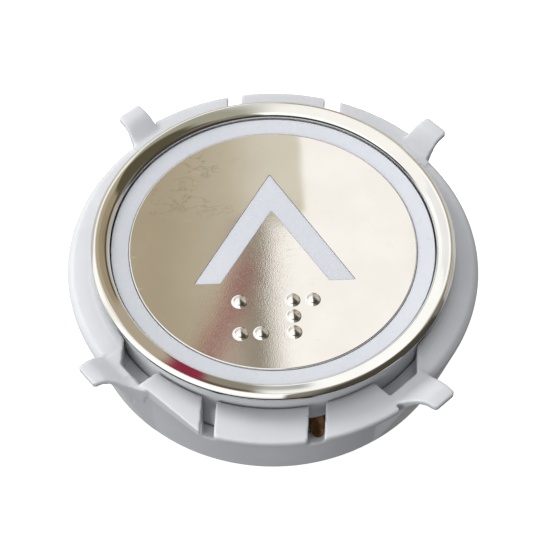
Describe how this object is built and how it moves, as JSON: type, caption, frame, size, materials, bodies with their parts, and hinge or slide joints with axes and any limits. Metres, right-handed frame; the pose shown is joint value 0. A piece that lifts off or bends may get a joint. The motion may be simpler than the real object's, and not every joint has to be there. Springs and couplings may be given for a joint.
{
  "type": "lift call button",
  "caption": "Round lift hall-call push button with a chrome bezel, steel face with an up arrow and raised reading dots, a light ring and a snap-in mounting collar.",
  "frame": {"origin": "centre of the mounting collar's foot, which the button stands on", "axes": "+Z along the button's axis towards the finger, +Y the way the arrow points, +X to its right"},
  "size_m": [0.048, 0.0496, 0.0144],
  "materials": {
    "chrome": "mirror polished chrome plate",
    "polished_steel": "near-mirror polished stainless steel",
    "cap_diffuser": "milky translucent polycarbonate, unlit",
    "housing_plastic": "satin grey moulding",
    "collar_plastic": "satin pale grey moulding",
    "cover_plastic": "satin off-white moulding",
    "white_moulding": "matte white moulding",
    "black_moulding": "matte black moulding",
    "spring_bronze": "bare spring bronze",
    "zinc_screw": "zinc plated",
    "spring_steel": "bright drawn wire",
    "tinned_pin": "tin plated",
    "board_laminate": "green solder mask",
    "led_lens": "clear resin over phosphor, unlit"
  },
  "bodies": {
    "base": {"bezel_ring": "chrome", "button_housing": "housing_plastic", "bezel_clip_1": "spring_bronze", "bezel_clip_2": "spring_bronze", "mounting_collar": "collar_plastic", "circuit_board": "board_laminate", "ring_led_1": "led_lens", "ring_led_2": "led_lens", "ring_led_3": "led_lens", "ring_led_4": "led_lens", "ring_led_5": "led_lens", "ring_led_6": "led_lens", "arrow_led_1": "led_lens", "arrow_led_2": "led_lens", "resistor_1": "black_moulding", "resistor_2": "black_moulding", "resistor_3": "black_moulding", "switch_body": "black_moulding", "reflector_ring": "white_moulding", "return_spring_1": "spring_steel", "return_spring_2": "spring_steel", "return_spring_3": "spring_steel", "socket_shell": "white_moulding", "socket_pin_1": "tinned_pin", "socket_pin_2": "tinned_pin", "socket_pin_3": "tinned_pin", "socket_pin_4": "tinned_pin", "board_screw_1": "zinc_screw", "board_screw_2": "zinc_screw", "board_screw_3": "zinc_screw", "cover_screw_1": "zinc_screw", "cover_screw_2": "zinc_screw", "cover_screw_3": "zinc_screw", "rear_cover": "cover_plastic"},
    "cap": {"button_cap": "cap_diffuser", "face_plate": "polished_steel"},
    "plunger": {"switch_plunger": "white_moulding"}
  },
  "joints": [
    {"name": "cap_press", "type": "slide", "parent": "base", "child": "cap", "axis": [0, 0, 1], "range_m": [-0.001, 0], "stiffness_N_per_m": 1500, "springref_m": 0.001, "deforming": ["return_spring_1", "return_spring_2", "return_spring_3"]},
    {"name": "plunger_slide", "type": "slide", "parent": "base", "child": "plunger", "axis": [0, 0, 1], "range_m": [-0.001, 0]}
  ],
  "couplings": [
    {"joint": "plunger_slide", "follows": "cap_press", "ratio": 1}
  ]
}
